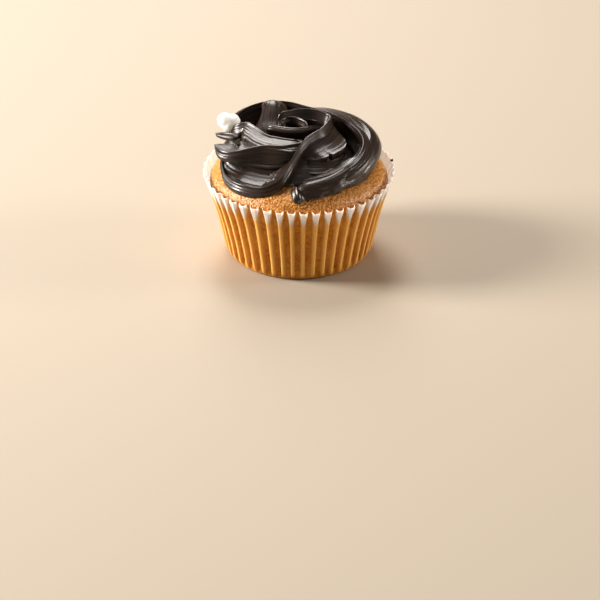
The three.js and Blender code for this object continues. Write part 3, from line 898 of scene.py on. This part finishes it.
RIBBONS = (
    Ribbon("outer_band",
           ((-93, 24.6, 35.6), (-65, 23.2, 37.2), (-35, 22.6, 39.2), (-12, 23.7, 41), (10, 24.6, 42.4),
            (38, 23.9, 43.5), (62, 22.4, 44.2), (85, 21.4, 43.6), (110, 21.4, 42.8), (135, 22.5, 42)),
           Flank(4, 2.5, 0.6), Flank(3.6, 4.4, 0.7, 1.6), left_to=Flank(8, -2, 0),
           right_to=Flank(4.9, 5.4, 0.5, 1.4), turning=(0.36, 0.6), edge=0.05, ends=(5, 8),
           flutes=0.03, ragged=0.55),
    Ribbon("lower_turn",
           ((25, 24.4, 39.6), (70, 24.2, 39.4), (115, 24, 39), (155, 24, 38.2), (185, 23.4, 36.4)),
           Flank(5, 4, 0.8), Flank(4, 4, 0.9, 1), edge=0.05, ends=(9, 9)),
    Ribbon("inner_crest",
           ((-88, 20.5, 35.4), (-60, 22, 37.6), (-35, 22.8, 39.6), (-10, 22.2, 42.2), (15, 19.4, 44.2),
            (38, 16.2, 45.9), (60, 14.8, 46.8), (82, 14.8, 47.3), (104, 16.6, 48.3), (124, 19.2, 48.6),
            (143, 22.6, 47.2), (160, 25.4, 44.4)),
           Flank(6.5, 1.2, 0.5), Flank(3, 2, 0.4), left_to=Flank(1.5, 6.5, 0.1), turning=(0.2, 0.36),
           edge=0.35, ends=(4, 6), grooves=(1.2, 0.09), groove_span=(-0.2, 0.3), flutes=0.03),
    Ribbon("folded_petal",
           ((47.7, 12.6, 47.2), (31.1, 12.2, 46.9), (2.5, 9.5, 47.1), (-31.1, 8.7, 46.9),
            (-57.8, 8.6, 46.4), (-77.9, 10.1, 45.6), (-86.5, 12, 44.3)),
           Flank(0.8, 4.6, 0.2, 0.3), Flank(1.5, 4, 0.2), left_to=Flank(8.4, 4.9, -0.8, 0.8),
           turning=(0, 0.6), edge=0.25, root=6, ends=(2, 6), flutes=0.02, sway=0.1),
    Ribbon("left_rim",
           ((146.3, 9.3, 46.8), (136.9, 8.7, 48.4), (106.8, 8.6, 48.6), (87.8, 9.4, 48.5),
            (68.6, 10.7, 48.2), (50.5, 11.6, 47.9), (31.2, 12.2, 47.2), (1.8, 9.5, 47.4),
            (-31.7, 8.7, 47.2), (-58.2, 8.7, 46.7), (-78.1, 10.3, 45.9), (-88.4, 12.7, 44.5),
            (-99.3, 17.4, 40.7), (-102.9, 20.5, 38.6), (-106.9, 23.7, 36.8), (-117, 26.8, 34.8),
            (-133, 28.2, 34.3), (-150, 28.2, 34.7), (-168, 27, 38)),
           Flank(0.5, 2.2, 0, 0.3), Flank(1.6, 3, -0.6), right_to=Flank(8, 1, -0.7), turning=(0.5, 0.7),
           edge=0.3, grooves=(1.15, 0.3), groove_span=(0.62, 1.2), flutes=0.03),
    Ribbon("petal_floor",
           ((-88, 10, 40.4), (-103, 14, 38.3), (-124, 16.8, 37.7), (-138.5, 19.2, 38.1),
            (-147, 20.8, 38.7), (-155, 22.6, 39.6), (-165, 24.6, 41)),
           Flank(6.8, 3.9, -0.55), Flank(3, 1, 0), left_to=Flank(4, 4.6, -0.2), turning=(0.6, 0.9),
           edge=0.3, ends=(4, 3), flutes=0.04, grooves=(1.3, 0.09), sway=0.08),
    Ribbon("bowl_crease",
           ((-149, 21.5, 39.1), (-138.5, 19.7, 38.4), (-124.4, 17.2, 38), (-105, 14.6, 38.6)),
           Flank(0.5, 0.5, 0.6), Flank(0.5, 0.5, 0.6), root=0.5, edge=0.25, ends=(3, 6), sway=0.05),
    Ribbon("shelf",
           ((-62, 9.2, 44.8), (-113.5, 12.4, 44.2), (-138.5, 16, 43.8), (-147.6, 20.5, 42.8),
            (-152.2, 24.3, 41.9), (-160.3, 27, 41.2), (-171.6, 29, 41.3)),
           Flank(2, 5.5, 0.4), Flank(4, 0.7, 0.5, 0.5), left_to=Flank(1.2, 1.4, 0.4),
           right_to=Flank(7.5, -1.2, 0.2), turning=(0.45, 0.75), edge=0.6, ends=(3, 9), taper=0.9,
           root=6, root_to=0.3, flutes=0.09, streak=0.06, grooves=(1.3, 0.1), groove_span=(0.4, 1.2)),
    Ribbon("swept_fold",
           ((171.5, 23.4, 44.8), (174, 20.8, 46.1), (176.1, 17.5, 46.9), (187.1, 14.6, 46.5),
            (208, 11.9, 45.4), (242, 8.6, 45), (280, 8.6, 44.9)),
           Flank(2.4, 2.4, 0.2, 0.5), Flank(1.4, 2.2, 0.5, 0.3), right_to=Flank(5, 1.5, 0.5, 0.5),
           turning=(0.02, 0.4), edge=0.6, root=1.2, root_to=8, ends=(4, 4), grooves=(1.2, 0.13)),
    Ribbon("lower_lip",
           ((171.1, 11.6, 45.6), (177.5, 9.3, 46.2), (187.1, 6.4, 46.2), (212.6, 3, 46.1),
            (319.4, 1.8, 46.1), (358.8, 4.6, 46.4), (369, 9, 45.6)),
           Flank(0.9, 2.6, 0), Flank(1, 0.9, 0.6, 0.3), root=4, edge=0.3, ends=(4, 3), flutes=0.03),
    Ribbon("tall_fold",
           ((186, 9.6, 43.6), (156.5, 10, 45.8), (137.7, 11.9, 48.5), (127.5, 14.1, 50.1),
            (121.8, 17.1, 49.6), (116.6, 21.2, 46)),
           Flank(6, 1.6, 0.8), Flank(5.2, 1.6, 0.8), left_to=Flank(4, 2.2, 0.9, 0.4),
           right_to=Flank(4.6, 3.2, 0.8), turning=(0.1, 0.5), edge=0.05, ends=(5, 5),
           grooves=(2.2, 0.07), flutes=0.03),
    Ribbon("middle_curl",
           ((-5.9, 2.9, 45.4), (29.7, 3.2, 46), (68.2, 4.3, 46.4), (102.3, 6.6, 46.6),
            (122.9, 7.7, 46.6), (146.7, 7.7, 46.4)),
           Flank(0.4, 2, 0), Flank(0.4, 2, 0), root=4, edge=0.25, ends=(1.5, 1.5)),
    Ribbon("side_tip",
           ((172.5, 28.9, 42.4), (175, 25.5, 42.8), (184, 20, 43.6)),
           Flank(1.5, 0.8, 0.5), Flank(1.5, 0.8, 0.5), root=0.5, edge=0.3, ends=(6, 3)),
    Ribbon("nub",
           ((-94, 22, 34.2), (-92, 24.6, 35), (-90.5, 26.6, 34.2), (-89.3, 28.4, 32.4)),
           Flank(1.9, 1.5, 0.6), Flank(1.4, 1.8, 0.7), root=1.2, edge=0.5, ends=(2.5, 2), flutes=0.02),
    Ribbon("petal_skirt",
           ((-84, 12.5, 40), (-66, 14.2, 40.7), (-48, 15, 41), (-28, 14.6, 41), (-8, 14, 41)),
           Flank(2, 1.5, 0.2), Flank(4.4, 3.8, -0.2), root=0.5, edge=0.3, ends=(6, 6), sway=0.05),
)


@dataclass
class Icing:
    """The piped rosette: a low mound and the ribbons on it, from the nub where piping began."""

    sponge: Sponge
    core: tuple = ((0, 39.5), (6, 39.8), (8.5, 40.8), (10, 41.2), (20.4, 34.1),
                   (21.2, 33), (21.6, 31.6))
    core_foot: float = 25.0
    clearance: float = 0.55
    cut_radius: float = 36.0
    cut_heights: tuple = (10.0, 24.0)
    crease_degrees: float = 50.0
    rows: int = 90
    columns: int = 240

    def turned(self, name: str, outline: np.ndarray) -> bpy.types.Object:
        """Turns an outline of (radius, height) that starts and ends on the axis."""
        along = np.concatenate([[0], np.cumsum(np.hypot(*np.diff(outline, axis=0).T))])
        at = np.linspace(0, along[-1], self.rows)
        section = np.stack([np.interp(at, along, outline[:, k]) for k in (0, 1)], axis=1)
        r, z, a = section_grid(section, np.linspace(0, TAU, self.columns, endpoint=False))
        return grid_piece(name, cartesian(r, z, a), uv=np.stack([r, 10 * a], axis=-1))

    def join(self, base: bpy.types.Object, others: list[bpy.types.Object], operation: str) -> None:
        """Joins or cuts base with the others in one step, and removes them."""
        group = bpy.data.collections.new("joining")
        for other in others:
            group.objects.link(other)
        tool = base.modifiers.new("join", "BOOLEAN")
        tool.operation = operation
        tool.solver = "MANIFOLD"
        tool.operand_type = "COLLECTION"
        tool.collection = group
        apply_modifiers(base)
        for other in others:
            bpy.data.objects.remove(other)
        bpy.data.collections.remove(group)

    def build(self) -> bpy.types.Object:
        """Joins the mound and the ribbons, and cuts away what the sponge fills."""
        core = np.array(self.core[::-1], dtype=float)
        foot = [[0, self.core_foot], [core[0, 0], self.core_foot]]
        base = self.turned("icing_rosette", np.vstack([foot, core]))
        parts = [ribbon.build(FIRST_SEED + SEED_STEP * i) for i, ribbon in enumerate(RIBBONS)]
        self.join(base, parts, "UNION")
        dome = np.array(self.sponge.dome[::-1], dtype=float) * [1.01, 1] + [0, self.clearance]
        low, high = self.cut_heights
        foot = [[0, low], [self.cut_radius, low], [self.cut_radius, high]]
        below = self.turned("below", np.vstack([foot, dome]))
        self.join(base, [below], "DIFFERENCE")
        mesh = base.data
        mesh.polygons.foreach_set("use_smooth", np.ones(len(mesh.polygons), dtype=bool))
        mesh.set_sharp_from_angle(angle=math.radians(self.crease_degrees))
        dress(base, IcingFinish().material(), "icing")
        return base


# Sugar piece

@dataclass
class SugarPiece:
    """Small lobed sugar piece pressed into the left of the icing, in millimetres."""

    lobes: tuple = ((168.5, 26.0, 46.0, 2.9), (166.5, 23.0, 45.6, 2.7), (170.5, 24.4, 44.0, 2.4))
    blend_power: int = 8
    swell: float = 1.06

    def build(self) -> bpy.types.Object:
        """Builds one closed form round the lobes.

        From a middle point each direction reaches out to the farthest lobe surface that it
        meets, blended by a high power mean so that the creases between lobes are soft.
        """
        azimuth, radius, height, size = np.array(self.lobes, dtype=float).T
        azimuth = np.radians(azimuth)
        centres = cartesian(radius, height, azimuth)
        middle = centres.mean(axis=0)
        _, _, way = ball_directions(90, 140)
        reach = []
        for centre, r in zip(centres - middle, size):
            along = way @ centre
            reach.append(along + np.sqrt(np.maximum(along**2 - centre @ centre + r * r, 0.01)))
        reach = np.stack(reach)
        power = self.blend_power
        blended = np.mean(reach**power, axis=0) ** (1 / power) * self.swell
        lumps = soft_noise(way * 2.6, 21) * 0.10 + soft_noise(way * 6, 22) * 0.035
        reach = np.minimum(blended, reach.max(axis=0)) * (0.97 + lumps * 0.5)
        piece = grid_piece("sugar_lobes", middle + way * reach[..., None])
        dress(piece, SugarFinish().material(), "sugar_piece")
        return piece


@dataclass
class RimSpeck:
    """Small speck of chocolate on the rim of the case, in millimetres."""

    middle: tuple = (32.15, 4.8, 31.0)
    size: float = 0.5

    def build(self) -> bpy.types.Object:
        """Builds one small closed lump."""
        a, b, way = ball_directions(14, 20)
        reach = self.size * (1 + 0.3 * soft_noise(way * 2, 31))
        grid = np.array(self.middle) + way * reach[..., None]
        piece = grid_piece("chocolate_speck", grid, uv=np.stack([b, a], axis=-1))
        dress(piece, IcingFinish().material())
        return piece


# Stage, light and camera

@dataclass(frozen=True)
class Studio:
    """Plain pale floor, soft light and the camera at the photograph's view, in metres.

    Each lamp is a name, a place, a size, a power in watts and a colour.
    """

    floor_colour: tuple = (0.40, 0.345, 0.275)
    floor_mottle: tuple = (0.44, 0.37, 0.29)
    floor_near: float = -3.0
    floor_far: float = 1.2
    floor_curve: float = 0.8
    floor_top: float = 4.0
    world_colour: tuple = (1.0, 0.88, 0.74)
    world_strength: float = 0.19
    camera_place: tuple = (0.00035, -0.52977, 0.28168)
    camera_pitch_down: float = 29.82
    lens_mm: float = 102.0
    lamps: tuple = (
        ("key", (-0.88, 0.02, 0.42), (0.30, 0.40), 22.0, (1.0, 0.95, 0.89)),
        ("fill", (0.88, 0.02, 0.28), (0.30, 0.24), 6.0, (1.0, 0.92, 0.84)),
        ("back", (-0.11, 0.80, 0.70), (0.40, 0.80), 9.0, (1.0, 0.95, 0.91)),
        ("top", (-0.06, 0.40, 0.86), (0.26, 0.26), 3.0, (1.0, 0.95, 0.91)),
    )

    def floor(self) -> None:
        """Lays a wide floor that curves up far behind the object."""
        along = np.linspace(self.floor_near, self.floor_far, 40)
        climb = np.linspace(0, math.pi / 2, 24)[1:]
        curve = self.floor_curve
        y = np.concatenate([along, self.floor_far + curve * np.sin(climb), [self.floor_far + curve]])
        z = np.concatenate([0 * along, curve - curve * np.cos(climb), [self.floor_top]])
        x = np.linspace(self.floor_near, -self.floor_near, 12)
        yy, xx = np.meshgrid(y, x, indexing="ij")
        zz, _ = np.meshgrid(z, x, indexing="ij")
        grid = np.stack([xx, yy, zz], axis=-1) / MM
        piece = grid_piece("floor", grid, Closing.OPEN, (False, False))
        if piece.data.polygons[0].normal.z < 0:
            piece.data.flip_normals()
        s = Shader("floor")
        mottle = s.noise(s.place(), 6, 2)
        shade = s.mix(s.range(mottle, STREAK_SPAN, (0, 0.05)), self.floor_colour, self.floor_mottle)
        piece.data.materials.append(s.finish(Base_Color=shade, Roughness=0.7, Specular_IOR_Level=0.2))

    def lamp(self, name: str, place: tuple, size: tuple, power: float, colour: tuple) -> None:
        """Hangs one soft light that faces the cupcake.

        Args:
            name: the light's name.
            place: where it hangs, in metres.
            size: its width and height in metres.
            power: its power in watts.
            colour: its colour.
        """
        light = bpy.data.lights.new(name, "AREA")
        light.shape = "RECTANGLE"
        light.size = size[0]
        light.size_y = size[1]
        light.energy = power
        light.color = colour
        lamp = bpy.data.objects.new(name, light)
        lamp.location = place
        aim = Vector((0, 0, 0.03)) - Vector(place)
        lamp.rotation_euler = aim.to_track_quat("-Z", "Y").to_euler()
        bpy.context.scene.collection.objects.link(lamp)

    def camera(self) -> None:
        """Sets up the camera at the photograph's place, pitch and lens."""
        data = bpy.data.cameras.new("camera")
        data.lens = self.lens_mm
        data.sensor_width = 36
        camera = bpy.data.objects.new("camera", data)
        camera.location = self.camera_place
        camera.rotation_euler = (math.radians(90 - self.camera_pitch_down), 0, 0)
        bpy.context.scene.collection.objects.link(camera)
        bpy.context.scene.camera = camera

    def build(self) -> None:
        """Sets the whole stage."""
        self.camera()
        self.floor()
        for name, place, size, power, colour in self.lamps:
            self.lamp(name, place, size, power, colour)
        world = bpy.data.worlds.new("soft_room")
        world.use_nodes = True
        background = world.node_tree.nodes["Background"]
        background.inputs["Color"].default_value = (*self.world_colour, 1)
        background.inputs["Strength"].default_value = self.world_strength
        bpy.context.scene.world = world
        bpy.context.scene.view_settings.view_transform = "Standard"


def main() -> None:
    """Builds the stage and every piece."""
    logging.basicConfig(level=logging.INFO, format="%(name)s %(message)s")
    Studio().build()
    case = PaperCase()
    case.build()
    sponge = Sponge(case)
    sponge.build()
    Icing(sponge).build()
    SugarPiece().build()
    RimSpeck().build()


if __name__ == "__main__":
    main()
